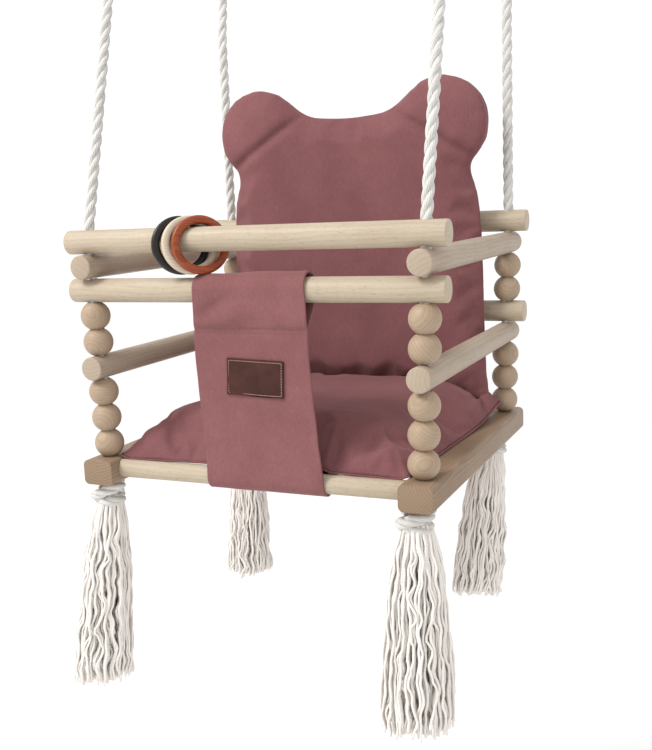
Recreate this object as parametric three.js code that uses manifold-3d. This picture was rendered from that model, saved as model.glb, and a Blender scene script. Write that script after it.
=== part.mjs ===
// Hanging wooden toddler swing: beads and round bars threaded on four twisted cotton ropes, with a
// slatted seat, two cushions, a crotch flap with a sewn-on patch, and three play rings.
// Millimetres, +Z up. The origin is the middle of the four hanging points on the ceiling plane.
import * as THREE from "three";
import { mergeVertices } from "three/addons/utils/BufferGeometryUtils.js";
import Module from "manifold-3d";

const wasm = await Module();
wasm.setup();

// ---- Driving dimensions -------------------------------------------------------------------------
const GAP = 0.3; // left between pieces that touch

// Where the seat hangs. Everything in the seat frame is measured from the top face of its beams.
const SEAT_DROP = 776;
const SEAT_SHIFT = 8;
const SEAT_TILT = THREE.MathUtils.degToRad(6); // hung empty, its front edge hangs lower

// Ropes and the four columns that they hold together
const ROPE_D = 13;
const ROPE_HOLE_R = 7.7;
const COLUMN_X = 199; // at the beam top
const COLUMN_SPLAY = 8 / 230; // outward travel of a column for its height
const COLUMN_Y = 175;

// Beads, bars and beams
const BEAD_D = 35;
const BEAD_HALF = 15.6; // half the length of a bead along its hole
const BAR_D = 28;
const BAR_OVERHANG = 25; // past the rope, front and back bars
const SIDE_BAR_OVERHANG = 20;
const BEAM_W = 40;
const BEAM_H = 30;
const BEAM_LENGTH = 408;
const BEAM_CORNER = 7;
const ROD_D = 22;
const ROD_Z = -13.5;
const ROD_TENON = 10;
const ROD_Y = [-178, -89, 0, 89, 178];

// Heights in each column, from the beam top
const PITCH = 2 * BEAD_HALF + GAP;
const BAR_PITCH = BAR_D + GAP;
const BEAD_1 = GAP + BEAD_HALF;
const SIDE_LOW_Z = BEAD_1 + 2 * PITCH + BEAD_HALF + GAP + BAR_D / 2;
const FRONT_BEAD_4 = SIDE_LOW_Z + BAR_D / 2 + GAP + BEAD_HALF;
const FRONT_SECOND_Z = FRONT_BEAD_4 + PITCH + BEAD_HALF + GAP + BAR_D / 2;
const BACK_SECOND_Z = SIDE_LOW_Z + BAR_PITCH;
const BACK_BEAD_4 = BACK_SECOND_Z + BAR_D / 2 + GAP + BEAD_HALF;
const SIDE_HIGH_Z = FRONT_SECOND_Z + BAR_PITCH;
const TOP_BAR_Z = SIDE_HIGH_Z + BAR_PITCH;
const ROPE_X = columnX(TOP_BAR_Z);

// Ceiling fittings
const EYE_Y = 112;
const PLATE = { length: 60, width: 36, thickness: 5, holeR: 3, holeX: 22 };
const EYE_RING_R = 16;
const EYE_WIRE_R = 4;
const SHANK_R = 5;
const SHANK_LENGTH = 8;
const EYE_Z = -(PLATE.thickness + SHANK_LENGTH + 2 * EYE_RING_R); // the wire that the rope hangs on

// Rope end: [sideways, height above the eye wire], round the eye and back beside itself
const ROPE_END = [
  [0, -200], [2, -172], [5.6, -150], [6.8, -130], [6.8, -106], [8, -84], [16, -52], [25, -24],
  [24, -4], [14.5, 8.5], [0, 13], [-14.5, 8.5], [-24, -4], [-25, -24], [-16, -52], [-8, -84],
  [-6.8, -106], [-6.8, -122],
];
const ROPE_START = -10; // below the middle of the top bar, inside its hole
const STRAIGHT = 60; // of the rope below its middle, before it starts to bend towards its end

// Knots and tassels under the beams
const KNOT = { r: 20, endR: 12, shoulderR: 18.6, height: 26, shoulder: 7, below: 1 };
const TASSEL = { length: 236, gap: 4.5, neckR: 6, collarR: 13, collar: 6 };

// Play rings on the front top bar
const RING = { r: 28.5, halfWidth: 4.7, halfThick: 4.2, turn: 45, drop: 6.3, x: -80, step: 13 };

// Soft parts
const SEAT_PAD = {
  front: -172, flareY: -140, wideY: 60, back: 150, // from its front edge to its back edge
  halfFront: 177, halfFlare: 183, halfBack: 196, bottom: 0.8, height: 44, round: 12,
};
const BACK_PAD = {
  bottom: 47, half: 186, front: 120, thick: 36, round: 9, corner: 10, waistZ: 240,
  neck: [182, 295], earX: 134, earZ: 388, earR: 63, shoulder: [62, 411], dip: 405,
};
const FLAP = {
  thick: 2.5, ease: 0.5, topLeft: -62, topRight: 76, bottomLeft: -56, bottomRight: 88,
  stitch: 160, tuckZ: -1.6, tuck: [-136, -116], // behind the front rod, under the seat cushion
};
const PATCH = { x: 14, z: 105, width: 70, height: 41, thick: 1.6 };
const TIE = { x: 110, width: 25, thick: 2.2, clearance: 0.7 };

// ---- Materials ----------------------------------------------------------------------------------
const finish = (color, roughness, metalness = 0) =>
  new THREE.MeshStandardMaterial({ color, roughness, metalness });
const barWood = () => finish(0xd9c7ab, 0.55);
const beadWood = () => finish(0xdec49f, 0.5);
const beamWood = () => finish(0xb89a75, 0.6);
const cotton = () => finish(0xe9e6df, 0.9);
const yarn = () => finish(0xded8cc, 0.95);
const padCloth = () => finish(0x8a5a5c, 0.95);
const flapCloth = () => finish(0x9c6a6a, 0.95);
const leather = () => finish(0x54322a, 0.6);
const steel = () => finish(0x9a9ca0, 0.35, 1);

// ---- Helpers ------------------------------------------------------------------------------------
function columnX(z) {
  return COLUMN_X + COLUMN_SPLAY * z;
}

function toManifold(geometry) {
  const bare = geometry.clone();
  bare.deleteAttribute("normal");
  bare.deleteAttribute("uv");
  const merged = mergeVertices(bare, 1e-3);
  return new wasm.Manifold(new wasm.Mesh({
    numProp: 3,
    vertProperties: merged.attributes.position.array,
    triVerts: Uint32Array.from(merged.index.array),
  }));
}

function toGeometry(solid) {
  const mesh = solid.getMesh();
  const geometry = new THREE.BufferGeometry();
  geometry.setAttribute("position", new THREE.BufferAttribute(mesh.vertProperties, mesh.numProp));
  geometry.setIndex(new THREE.BufferAttribute(mesh.triVerts, 1));
  geometry.computeVertexNormals();
  return geometry;
}

const join = (first, ...others) =>
  toGeometry(others.reduce((sum, g) => sum.add(toManifold(g)), toManifold(first)));
const cut = (body, ...tools) =>
  toGeometry(tools.reduce((rest, g) => rest.subtract(toManifold(g)), toManifold(body)));

const alongX = (radius, length, sides = 24) =>
  new THREE.CylinderGeometry(radius, radius, length, sides).rotateZ(Math.PI / 2);
const alongY = (radius, length, sides = 24) =>
  new THREE.CylinderGeometry(radius, radius, length, sides);
const alongZ = (radius, length, sides = 16) =>
  new THREE.CylinderGeometry(radius, radius, length, sides).rotateX(Math.PI / 2);

// A solid of revolution about Z from [radius, z] points that rise and close on the axis or on
// their first point.
const turned = (profile, sides) =>
  new THREE.LatheGeometry(profile.map(([r, z]) => new THREE.Vector2(r, z)), sides)
    .rotateX(Math.PI / 2);

// Points along an arc, angles in degrees
function arc(cx, cy, radius, from, to, steps) {
  return Array.from({ length: steps + 1 }, (_, i) => {
    const angle = THREE.MathUtils.degToRad(from + ((to - from) * i) / steps);
    return [cx + radius * Math.cos(angle), cy + radius * Math.sin(angle)];
  });
}

// The angle in degrees at which a line from the point touches the circle, on the given side (1, -1)
function touch(cx, cy, radius, [px, py], side) {
  const reach = Math.hypot(px - cx, py - cy);
  const angle = Math.atan2(py - cy, px - cx) + side * Math.acos(radius / reach);
  return THREE.MathUtils.radToDeg(angle);
}

const swing = new THREE.Group();
const seat = new THREE.Group();
seat.position.set(0, SEAT_SHIFT, -SEAT_DROP);
seat.rotation.x = SEAT_TILT;
swing.add(seat);
seat.updateMatrixWorld(true);
const fromSeat = (x, y, z) => new THREE.Vector3(x, y, z).applyMatrix4(seat.matrixWorld);

function add(name, geometry, material, x = 0, y = 0, z = 0, parent = seat) {
  const mesh = new THREE.Mesh(geometry, material);
  mesh.name = name;
  mesh.position.set(x, y, z);
  parent.add(mesh);
  return mesh;
}

const SIDES = [["left", -1], ["right", 1]];
const ENDS = [["front", -1], ["back", 1]];

// ---- Bars, beams and seat rods ------------------------------------------------------------------
function crossBar(ropeX) {
  const bar = alongX(BAR_D / 2, 2 * (ropeX + BAR_OVERHANG));
  const hole = () => alongZ(ROPE_HOLE_R, BAR_D + 4);
  return cut(bar, hole().translate(-ropeX, 0, 0), hole().translate(ropeX, 0, 0));
}

function sideBar() {
  const bar = alongY(BAR_D / 2, 2 * (COLUMN_Y + SIDE_BAR_OVERHANG));
  const hole = () => alongZ(ROPE_HOLE_R, BAR_D + 4);
  return cut(bar, hole().translate(0, -COLUMN_Y, 0), hole().translate(0, COLUMN_Y, 0));
}

function beam(side) {
  const w = BEAM_W / 2;
  const h = BEAM_H / 2;
  const c = BEAM_CORNER;
  const section = new THREE.Shape([
    ...arc(w - c, h - c, c, 0, 90, 3), ...arc(c - w, h - c, c, 90, 180, 3),
    ...arc(c - w, c - h, c, 180, 270, 3), ...arc(w - c, c - h, c, 270, 360, 3),
  ].map(([x, z]) => new THREE.Vector2(x, z)));
  const bar = new THREE.ExtrudeGeometry(section, { depth: BEAM_LENGTH, bevelEnabled: false })
    .translate(0, 0, -BEAM_LENGTH / 2)
    .rotateX(Math.PI / 2);
  const ropeHoles = ENDS.map(([, end]) =>
    alongZ(ROPE_HOLE_R, BEAM_H + 4).translate(0, end * COLUMN_Y, 0));
  const socket = () => alongX(ROD_D / 2 + GAP, 2 * (ROD_TENON + GAP), 20);
  const sockets = ROD_Y.map((y) => socket().translate(-side * w, y, ROD_Z + BEAM_H / 2));
  return cut(bar, ...ropeHoles, ...sockets);
}

for (const [side, sx] of SIDES) {
  add(`${side}_beam`, beam(sx), beamWood(), sx * COLUMN_X, 0, -BEAM_H / 2);
  add(`${side}_lower_side_bar`, sideBar(), barWood(), sx * columnX(SIDE_LOW_Z), 0, SIDE_LOW_Z);
  add(`${side}_upper_side_bar`, sideBar(), barWood(), sx * columnX(SIDE_HIGH_Z), 0, SIDE_HIGH_Z);
}
const secondBars = [["front", -COLUMN_Y, FRONT_SECOND_Z], ["back", COLUMN_Y, BACK_SECOND_Z]];
for (const [end, y, z] of secondBars) {
  add(`${end}_second_bar`, crossBar(columnX(z)), barWood(), 0, y, z);
}
const rodLength = 2 * (COLUMN_X - BEAM_W / 2 + ROD_TENON);
ROD_Y.forEach((y, i) => {
  add(`seat_rod_${i + 1}`, alongX(ROD_D / 2, rodLength, 20), barWood(), 0, y, ROD_Z);
});

// ---- Beads --------------------------------------------------------------------------------------
const beadTilt = THREE.MathUtils.radToDeg(Math.asin((2 * BEAD_HALF) / BEAD_D));
const beadProfile = [
  [ROPE_HOLE_R, -BEAD_HALF], ...arc(0, 0, BEAD_D / 2, -beadTilt, beadTilt, 6),
  [ROPE_HOLE_R, BEAD_HALF], [ROPE_HOLE_R, -BEAD_HALF],
];
const BEAD_HEIGHTS = {
  front: [BEAD_1, BEAD_1 + PITCH, BEAD_1 + 2 * PITCH, FRONT_BEAD_4, FRONT_BEAD_4 + PITCH],
  back: [BEAD_1, BEAD_1 + PITCH, BEAD_1 + 2 * PITCH, BACK_BEAD_4, BACK_BEAD_4 + PITCH],
};
for (const [end, sy] of ENDS) {
  for (const [side, sx] of SIDES) {
    BEAD_HEIGHTS[end].forEach((z, i) => {
      const bead = turned(beadProfile, 12);
      add(`bead_${end}_${side}_${i + 1}`, bead, beadWood(), sx * columnX(z), sy * COLUMN_Y, z);
    });
  }
}

// ---- Ropes, top bars, knots, tassels and ceiling fittings ---------------------------------------
function coreRope() {
  const r = ROPE_D / 2;
  const top = TOP_BAR_Z - BAR_D / 2 - 2 * GAP;
  const knotTop = -BEAM_H - KNOT.below;
  const knotFoot = knotTop - KNOT.height;
  return turned([
    [0, knotFoot], [KNOT.endR, knotFoot], [KNOT.shoulderR, knotFoot + KNOT.shoulder],
    [KNOT.r, (knotFoot + knotTop) / 2], [KNOT.shoulderR, knotTop - KNOT.shoulder],
    [KNOT.endR, knotTop], [r, knotTop], [r, top], [0, top],
  ], 10);
}

function freeRope(length) {
  const points = [[0, ROPE_START], [0, length / 2 - STRAIGHT], [0, length / 2]].concat(
    ROPE_END.map(([side, up]) => [side, length + up]));
  const route = new THREE.CatmullRomCurve3(points.map(([y, z]) => new THREE.Vector3(0, y, z)));
  const section = new THREE.Shape(
    arc(0, 0, ROPE_D / 2, 0, 315, 7).map(([x, y]) => new THREE.Vector2(x, y)));
  return new THREE.ExtrudeGeometry(section, { steps: 52, extrudePath: route });
}

function tassel() {
  const length = TASSEL.length;
  return turned([
    [0, -length], [26, -length], [33, -0.85 * length], [31, -0.55 * length], [22, -0.22 * length],
    [TASSEL.collarR, -TASSEL.collar], [TASSEL.neckR, 0], [0, 0],
  ], 12);
}

function ceilingEye() {
  const plate = new THREE.BoxGeometry(PLATE.length, PLATE.width, PLATE.thickness)
    .translate(0, 0, -PLATE.thickness / 2);
  const screwHole = (x) =>
    alongZ(PLATE.holeR, PLATE.thickness + 2, 12).translate(x, 0, -PLATE.thickness / 2);
  const shank = alongZ(SHANK_R, SHANK_LENGTH + 2, 12)
    .translate(0, 0, -PLATE.thickness - SHANK_LENGTH / 2);
  const ring = new THREE.TorusGeometry(EYE_RING_R, EYE_WIRE_R, 7, 18)
    .rotateX(Math.PI / 2)
    .translate(0, 0, EYE_Z + EYE_RING_R);
  return join(cut(plate, screwHole(-PLATE.holeX), screwHole(PLATE.holeX)), shank, ring);
}

const topBars = {};
for (const [end, sy] of ENDS) {
  const bar = fromSeat(0, sy * COLUMN_Y, TOP_BAR_Z);
  const reach = new THREE.Vector3(0, sy * EYE_Y, EYE_Z).sub(bar);
  const lean = new THREE.Group(); // turned so that its Z runs up the ropes
  lean.position.copy(bar);
  lean.rotation.x = -Math.atan2(reach.y, reach.z);
  swing.add(lean);
  topBars[end] = lean;
  add(`${end}_top_bar`, crossBar(ROPE_X), barWood(), 0, 0, 0, lean);
  for (const [side, sx] of SIDES) {
    const corner = `${end}_${side}`;
    add(`ceiling_eye_${corner}`, ceilingEye(), steel(), sx * ROPE_X, sy * EYE_Y, 0, swing);
    add(`rope_${corner}`, freeRope(reach.length()), cotton(), sx * ROPE_X, 0, 0, lean);
    const core = add(`knotted_rope_${corner}`, coreRope(), cotton(), sx * COLUMN_X, sy * COLUMN_Y, 0);
    core.rotation.y = sx * Math.atan(COLUMN_SPLAY);
    const under = -BEAM_H - KNOT.below - KNOT.height - GAP;
    const tip = fromSeat(sx * columnX(under), sy * COLUMN_Y, under);
    add(`tassel_${corner}`, tassel(), yarn(), tip.x, tip.y, tip.z - TASSEL.gap, swing);
  }
}

// ---- Play rings ---------------------------------------------------------------------------------
const ringSection = arc(0, 0, 1, 0, 360, 8)
  .map(([c, s]) => [RING.r + RING.halfWidth * c, RING.halfThick * s]);
const ringColours = [["black", 0x2a2522], ["natural", 0xcfc0a8], ["orange", 0x9a4527]];
ringColours.forEach(([colour, hex], i) => {
  const upright = turned(ringSection, 24).rotateX(Math.PI / 2);
  const ring = add(`${colour}_ring`, upright, finish(hex, 0.4), 0, 0, 0, topBars.front);
  ring.rotation.z = THREE.MathUtils.degToRad(RING.turn);
  ring.position.set(RING.x + i * RING.step, 0, -RING.drop);
});

// ---- Cushions -----------------------------------------------------------------------------------
const shapeOf = (points) => new THREE.Shape(points.map(([x, y]) => new THREE.Vector2(x, y)));
const plump = (depth, round) => ({
  depth: depth - 2 * round, bevelThickness: round, bevelSize: round, bevelOffset: -round,
  bevelSegments: 2,
});

// The whole outline from its right half, which starts at the bottom and ends on the middle
const mirrored = (right) => {
  const left = right.filter(([x]) => x > 0).reverse().map(([x, y]) => [-x, y]);
  return shapeOf([...right, ...left]);
};

const seatOutline = mirrored([
  [SEAT_PAD.halfFront, SEAT_PAD.front], [SEAT_PAD.halfFlare, SEAT_PAD.flareY],
  [SEAT_PAD.halfBack, SEAT_PAD.wideY], [SEAT_PAD.halfBack, SEAT_PAD.back],
]);
const seatPad = new THREE.ExtrudeGeometry(seatOutline, plump(SEAT_PAD.height, SEAT_PAD.round));
add("seat_cushion", seatPad, padCloth(), 0, 0, SEAT_PAD.bottom + SEAT_PAD.round);

const backOutline = mirrored([
  [BACK_PAD.half - BACK_PAD.corner, BACK_PAD.bottom],
  [BACK_PAD.half, BACK_PAD.bottom + BACK_PAD.corner], [BACK_PAD.half, BACK_PAD.waistZ],
  BACK_PAD.neck, ...arc(BACK_PAD.earX, BACK_PAD.earZ, BACK_PAD.earR, -57, 142, 9),
  BACK_PAD.shoulder, [0, BACK_PAD.dip],
]);
const backPad = new THREE.ExtrudeGeometry(backOutline, plump(BACK_PAD.thick, BACK_PAD.round))
  .rotateX(Math.PI / 2);
add("back_cushion", backPad, padCloth(), 0, BACK_PAD.front + BACK_PAD.thick - BACK_PAD.round, 0);

// ---- Ties that hold the back cushion to its bars --------------------------------------------------
function tieLoop() {
  const inner = BAR_D / 2 + TIE.clearance;
  const bore = arc(0, 0, inner, 345, 0, 23).map(([x, y]) => new THREE.Vector2(x, y));
  const ring = shapeOf(arc(0, 0, inner + TIE.thick, 0, 345, 23));
  ring.holes.push(new THREE.Path(bore));
  return new THREE.ExtrudeGeometry(ring, { depth: TIE.width, bevelEnabled: false })
    .translate(0, 0, -TIE.width / 2)
    .rotateY(Math.PI / 2);
}
for (const [side, sx] of SIDES) {
  add(`${side}_tie_loop`, tieLoop(), padCloth(), sx * TIE.x, COLUMN_Y, TOP_BAR_Z);
}

// ---- Crotch flap and its patch --------------------------------------------------------------------
// One band of cloth: a sleeve over the front second bar, down the front, round the front seat rod
// and back under the seat cushion.
function flapLine() {
  const sleeve = [-COLUMN_Y, FRONT_SECOND_Z, BAR_D / 2 + FLAP.ease + FLAP.thick / 2];
  const turn = [ROD_Y[0], ROD_Z, ROD_D / 2 + FLAP.ease + FLAP.thick / 2];
  const behind = [-COLUMN_Y - sleeve[2] + FLAP.thick + GAP, FLAP.stitch];
  const under = [FLAP.tuck[0], FLAP.tuckZ];
  return [
    behind,
    ...arc(...sleeve, touch(...sleeve, behind, 1), 180, 12),
    ...arc(...turn, 180, 360 + touch(...turn, under, -1), 6),
    under,
    [FLAP.tuck[1], FLAP.tuckZ],
  ];
}

function ribbon(line, thick) {
  const edge = (side) => line.map((p, i) => {
    const before = line[Math.max(i - 1, 0)];
    const after = line[Math.min(i + 1, line.length - 1)];
    const along = Math.hypot(after[0] - before[0], after[1] - before[1]);
    const across = (side * thick) / 2 / along;
    return [p[0] - (after[1] - before[1]) * across, p[1] + (after[0] - before[0]) * across];
  });
  return shapeOf([...edge(1), ...edge(-1).reverse()]);
}

function flap() {
  const band = new THREE.ExtrudeGeometry(ribbon(flapLine(), FLAP.thick),
    { depth: 1, bevelEnabled: false });
  const spots = band.attributes.position;
  for (let i = 0; i < spots.count; i += 1) {
    const [y, z, share] = [spots.getX(i), spots.getY(i), spots.getZ(i)];
    const height = z / FRONT_SECOND_Z;
    const left = THREE.MathUtils.lerp(FLAP.bottomLeft, FLAP.topLeft, height);
    const right = THREE.MathUtils.lerp(FLAP.bottomRight, FLAP.topRight, height);
    spots.setXYZ(i, THREE.MathUtils.lerp(left, right, share), y, z);
  }
  return band;
}
add("front_flap", flap(), flapCloth());

const flapFront = -COLUMN_Y - BAR_D / 2 - FLAP.ease - FLAP.thick;
const patch = new THREE.BoxGeometry(PATCH.width, PATCH.thick, PATCH.height);
add("leather_patch", patch, leather(), PATCH.x, flapFront - GAP - PATCH.thick / 2, PATCH.z);

export default swing;
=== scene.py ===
# Looks for a hanging wooden toddler swing: beads and round bars threaded on four twisted cotton
# ropes, a slatted seat, two stuffed cushions, a cloth flap with a leather patch, and play rings.
# Metres in the row frame; sizes below are in millimetres and mm() turns them into metres.
import math
import random

import bmesh
import bpy
from mathutils import Euler, Matrix, Vector, noise


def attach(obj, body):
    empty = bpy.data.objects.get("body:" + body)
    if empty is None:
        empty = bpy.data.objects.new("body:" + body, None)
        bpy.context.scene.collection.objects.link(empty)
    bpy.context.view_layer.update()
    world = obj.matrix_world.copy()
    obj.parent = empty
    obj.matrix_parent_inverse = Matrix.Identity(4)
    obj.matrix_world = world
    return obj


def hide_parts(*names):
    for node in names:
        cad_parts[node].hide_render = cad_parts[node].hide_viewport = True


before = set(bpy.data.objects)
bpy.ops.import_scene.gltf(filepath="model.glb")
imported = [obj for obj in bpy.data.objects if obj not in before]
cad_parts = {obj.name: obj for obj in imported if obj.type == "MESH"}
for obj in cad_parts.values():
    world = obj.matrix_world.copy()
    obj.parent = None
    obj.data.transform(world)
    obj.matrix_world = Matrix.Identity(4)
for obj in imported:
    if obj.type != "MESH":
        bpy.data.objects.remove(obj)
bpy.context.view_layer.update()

MM = 0.001
SIDES = (("left", -1), ("right", 1))
ENDS = (("front", -1), ("back", 1))
CORNERS = [(end, side, y, x) for end, y in ENDS for side, x in SIDES]

# ---- Driving sizes, in millimetres ----------------------------------------------------------
SEAT_DROP = 776
SEAT_SHIFT = 8
SEAT_TILT = math.radians(6)
EYE_Y = 112
EYE_Z = -45
EYE_RING_R = 16
EYE_WIRE_R = 4
ROPE_D = 13
ROPE_HOLE_R = 7.7
COLUMN_X = 199
COLUMN_Y = 175
COLUMN_SPLAY = 8 / 230
BEAD_D = 35
BEAD_HALF = 15.6
BAR_D = 28
BAR_OVERHANG = 25
SIDE_BAR_OVERHANG = 20
BEAM_W, BEAM_H, BEAM_LENGTH = 40, 30, 408
ROD_D = 22
ROD_Z = -13.5
ROD_Y = (-178, -89, 0, 89, 178)
TOP_BAR_Z = 256.7
SIDE_HIGH_Z = 228.4
SIDE_LOW_Z = 108.8
FRONT_SECOND_Z = 200.1
BACK_SECOND_Z = 137.1
ROPE_LAY = 52  # length along the rope of one turn of a strand

SEAT = (Matrix.Translation((0, SEAT_SHIFT * MM, -SEAT_DROP * MM))
        @ Matrix.Rotation(SEAT_TILT, 4, "X"))


def mm(x, y, z):
    return Vector((x, y, z)) * MM


def column_x(z):
    return COLUMN_X + COLUMN_SPLAY * z


def lean_frame(sign):
    """Places a top bar and its ropes: the origin is the bar's middle, and Z runs up the ropes."""
    bar = SEAT @ mm(0, sign * COLUMN_Y, TOP_BAR_Z)
    reach = mm(0, sign * EYE_Y, EYE_Z) - bar
    turn = Matrix.Rotation(-math.atan2(reach.y, reach.z), 4, "X")
    return Matrix.Translation(bar) @ turn, reach.length / MM


LEAN = {end: lean_frame(sign) for end, sign in ENDS}

# ---- Camera ---------------------------------------------------------------------------------
CAMERA_PLACE = (0.5288, -1.1690, -0.6037)
CAMERA_AZIMUTH = math.radians(23.81)
CAMERA_ELEVATION = math.radians(4.40)
CAMERA_LENS = 48.32

camera = bpy.data.objects.new("camera", bpy.data.cameras.new("camera"))
bpy.context.collection.objects.link(camera)
camera.data.lens = CAMERA_LENS
camera.data.clip_start = 0.05
camera.location = CAMERA_PLACE
camera.rotation_euler = Euler((math.pi / 2 - CAMERA_ELEVATION, 0, CAMERA_AZIMUTH))
bpy.context.scene.camera = camera


# ---- Node helpers ---------------------------------------------------------------------------
class Graph:
    """The nodes of a material or a shader group, and their links."""

    def __init__(self, tree):
        self.nodes, self.links = tree.nodes, tree.links

    def feed(self, socket, value):
        """Sets a socket to a number, a vector or a colour, or links an output to it."""
        if isinstance(value, bpy.types.NodeSocket):
            self.links.new(value, socket)
        elif value is not None:
            socket.default_value = (*value, 1) if socket.type == "RGBA" else value

    def add(self, kind, feeds=None, **settings):
        """A new node with its settings, and its inputs fed by number or by name."""
        node = self.nodes.new("ShaderNode" + kind)
        for label, value in settings.items():
            setattr(node, label, value)
        for socket, value in (feeds or {}).items():
            self.feed(node.inputs[socket], value)
        return node

    def maths(self, operation, a, b=None, clamp=False):
        return self.add("Math", {0: a, 1: b}, operation=operation, use_clamp=clamp).outputs[0]

    def plus(self, total, value, weight, clamp=False):
        """The total and the weighted value, added."""
        return self.maths("ADD", total, self.maths("MULTIPLY", value, weight), clamp)

    def scaled(self, vector, factors):
        """The vector multiplied axis by axis."""
        return self.add("VectorMath", {0: vector, 1: factors}, operation="MULTIPLY").outputs[0]

    def noise(self, vector, scale, detail=2.0, roughness=0.5):
        feeds = {"Scale": scale, "Detail": detail, "Roughness": roughness, "Vector": vector}
        return self.add("TexNoise", feeds).outputs["Fac"]

    def ramp(self, value, low, high):
        """0 below low, 1 above high, smooth between them."""
        feeds = {"From Min": low, "From Max": high, "Value": value}
        return self.add("MapRange", feeds, interpolation_type="SMOOTHSTEP").outputs["Result"]

    def mix(self, share, a, b, blend="MIX"):
        feeds = {0: share, 6: a, 7: b}
        return self.add("Mix", feeds, data_type="RGBA", blend_type=blend).outputs[2]

    def place(self):
        return self.add("TexCoord").outputs["Object"]

    def attribute(self, name):
        return self.add("Attribute", attribute_name=name).outputs["Vector"]


COLOUR, VECTOR, FLOAT = "NodeSocketColor", "NodeSocketVector", "NodeSocketFloat"


def new_group(name, inputs, outputs):
    """An empty shader group, with its graph, its given values, its outputs and Place in mm."""
    tree = bpy.data.node_groups.new(name, "ShaderNodeTree")
    for label, kind, default in [("Place", VECTOR, None), *inputs]:
        socket = tree.interface.new_socket(label, in_out="INPUT", socket_type=kind)
        if default is not None:
            socket.default_value = default
    for label in outputs:
        kind = COLOUR if label == "Colour" else FLOAT
        tree.interface.new_socket(label, in_out="OUTPUT", socket_type=kind)
    graph = Graph(tree)
    given = tree.nodes.new("NodeGroupInput").outputs
    leave = tree.nodes.new("NodeGroupOutput").inputs
    return tree, graph, given, leave, graph.scaled(given["Place"], (1000, 1000, 1000))


# ---- Shared surface effects -----------------------------------------------------------------
def make_wood_figure():
    """Growth rings, fine pores and short dark flecks that run along X of the given place."""
    tree, graph, given, out, place = new_group(
        "wood_figure",
        [("Pale", COLOUR, None), ("Dark", COLOUR, None), ("Ring Width", FLOAT, 4.0),
         ("Ring Strength", FLOAT, 0.4), ("Fleck", FLOAT, 0.5)],
        ("Colour", "Height", "Roughness"),
    )
    drift = graph.noise(graph.scaled(place, (0.006, 0.03, 0.03)), 1.0)
    across = graph.add("VectorMath", {0: graph.scaled(place, (0.02, 1, 1))}, operation="LENGTH")
    radius = graph.plus(across.outputs["Value"], drift, 14.0)
    saw = graph.maths("FRACT", graph.maths("DIVIDE", radius, given["Ring Width"]))
    ring = graph.ramp(saw, 0.35, 0.98)
    streak = graph.noise(graph.scaled(place, (0.02, 0.9, 0.9)), 1.0, 5.0, 0.65)
    streak = graph.ramp(streak, 0.3, 0.75)
    fleck = graph.noise(graph.scaled(place, (0.13, 2.6, 2.6)), 1.0, 1.0)
    fleck = graph.ramp(fleck, 0.64, 0.74)
    cloudy = graph.noise(place, 0.018, 2.0)
    dark = graph.maths("MULTIPLY", ring, given["Ring Strength"])
    dark = graph.plus(dark, streak, 0.32)
    dark = graph.plus(dark, graph.maths("SUBTRACT", cloudy, 0.5), 0.7, clamp=True)
    body = graph.mix(dark, given["Pale"], given["Dark"])
    spot = graph.maths("MULTIPLY", fleck, given["Fleck"])
    graph.feed(out["Colour"], graph.mix(spot, body, (0.5, 0.36, 0.24), "MULTIPLY"))
    graph.feed(out["Height"], graph.plus(graph.maths("MULTIPLY", streak, -0.6), fleck, -0.5))
    graph.feed(out["Roughness"], graph.plus(0.48, dark, 0.12))
    return tree


def make_cloth_nap():
    """A suede-like nap: cloudy tone, brushed patches, and fine fibres."""
    tree, graph, given, out, place = new_group(
        "cloth_nap", [("Light", COLOUR, None), ("Shade", COLOUR, None)], ("Colour", "Height"))
    cloudy = graph.noise(place, 0.016, 3.0, 0.6)
    brushed = graph.noise(graph.scaled(place, (0.5, 0.5, 0.16)), 1.0, 3.0, 0.6)
    grain = graph.noise(place, 0.9, 3.0, 0.7)
    fibre = graph.noise(graph.scaled(place, (3.0, 3.0, 1.2)), 1.0, 2.0, 0.6)
    tone = graph.maths("MULTIPLY", cloudy, 0.55)
    for part, weight in ((brushed, 0.35), (grain, 0.75), (fibre, 0.35)):
        tone = graph.plus(tone, part, weight)
    tone = graph.ramp(tone, 0.66, 1.36)
    graph.feed(out["Colour"], graph.mix(tone, given["Shade"], given["Light"]))
    graph.feed(out["Height"], graph.plus(graph.maths("MULTIPLY", grain, 0.6), fibre, 0.7))
    return tree


def make_twisted_fibre():
    """Yarns that run slantwise round a strand, from its lay: metres along, turn, and number."""
    tree, graph, given, out, place = new_group(
        "twisted_fibre",
        [("Lay", VECTOR, None), ("Light", COLOUR, None), ("Shade", COLOUR, None),
         ("Yarns", FLOAT, 8.0), ("Slant", FLOAT, 60.0)],
        ("Colour", "Height"),
    )
    lay = graph.add("SeparateXYZ", {0: given["Lay"]}).outputs
    fuzz = graph.noise(place, 1.3, 3.0, 0.7)
    turn = graph.maths("MULTIPLY", lay["X"], given["Slant"])
    turn = graph.plus(turn, lay["Y"], given["Yarns"])
    turn = graph.plus(turn, fuzz, 0.5)
    wave = graph.maths("SINE", graph.maths("MULTIPLY", turn, 2 * math.pi))
    wave = graph.plus(0.5, wave, 0.5)
    cloudy = graph.noise(place, 0.035, 2.0)
    tint = graph.maths("FRACT", graph.maths("MULTIPLY", lay["Z"], 0.381))
    tone = graph.maths("MULTIPLY", wave, 0.45)
    for part, weight in ((fuzz, 0.5), (cloudy, 0.35), (tint, 0.25)):
        tone = graph.plus(tone, part, weight)
    tone = graph.ramp(tone, 0.35, 1.05)
    graph.feed(out["Colour"], graph.mix(tone, given["Shade"], given["Light"]))
    graph.feed(out["Height"], graph.plus(wave, fuzz, 0.7))
    return tree


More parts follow.
